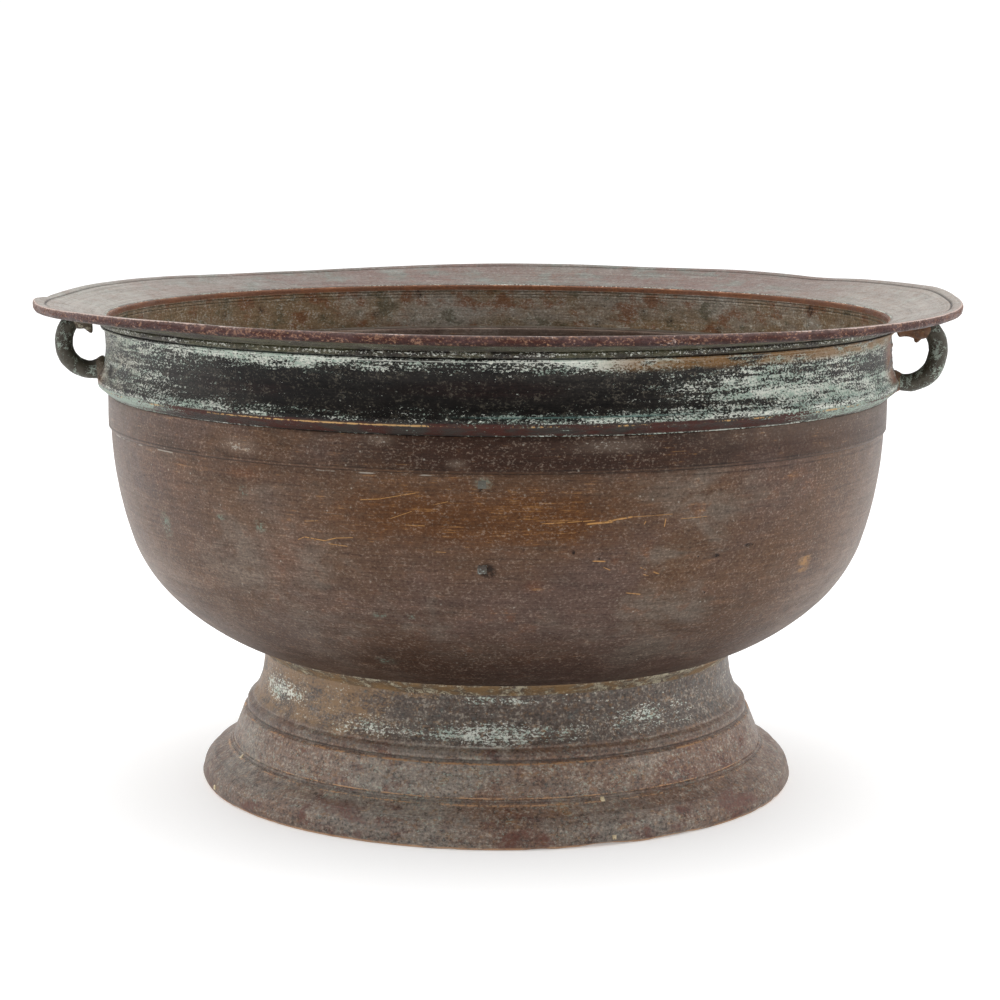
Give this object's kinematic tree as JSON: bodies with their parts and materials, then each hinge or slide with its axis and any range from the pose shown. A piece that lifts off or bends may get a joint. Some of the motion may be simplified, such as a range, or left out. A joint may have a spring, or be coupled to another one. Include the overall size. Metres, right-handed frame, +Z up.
{
  "type": "footed urli bowl",
  "caption": "Large footed metal bowl with a wide dished rim flange, a moulded hollow foot and an ear loop on each side, for holding water, flowers or food.",
  "frame": {"origin": "on the ground at the centre of the foot's base ring", "axes": "+Z up along the bowl's axis; +X towards the right handle; -Y is the front, and both handles stand 9 degrees towards it"},
  "size_m": [0.56, 0.56, 0.2975],
  "materials": {
    "bowl_bronze": "turned outside under a mid-brown patina, with fine horizontal tool lines and worn golden scratches",
    "rim_bronze": "near-black brown patina with verdigris in the hollows, grey on the worn flange and coppery on the lip",
    "foot_bronze": "mottled grey-brown patina with rust-red and tan wear on the edges",
    "handle_bronze": "as cast, dark green-brown with pale verdigris in the pits",
    "solder": "dull ochre tin-lead solder line",
    "braze": "rust-brown braze and residue",
    "chaplet_metal": "square core pins, turned flush and a little brighter than the wall"
  },
  "bodies": {
    "root": {"bowl_body": "bowl_bronze", "bowl_chaplets": "chaplet_metal", "rim_collar": "rim_bronze", "collar_seam": "solder", "foot_ring": "foot_bronze", "foot_chaplets": "chaplet_metal", "foot_seam": "solder", "left_handle": "handle_bronze", "left_lower_braze": "braze", "left_upper_braze": "braze", "right_handle": "handle_bronze", "right_lower_braze": "braze", "right_upper_braze": "braze"}
  },
  "joints": []
}
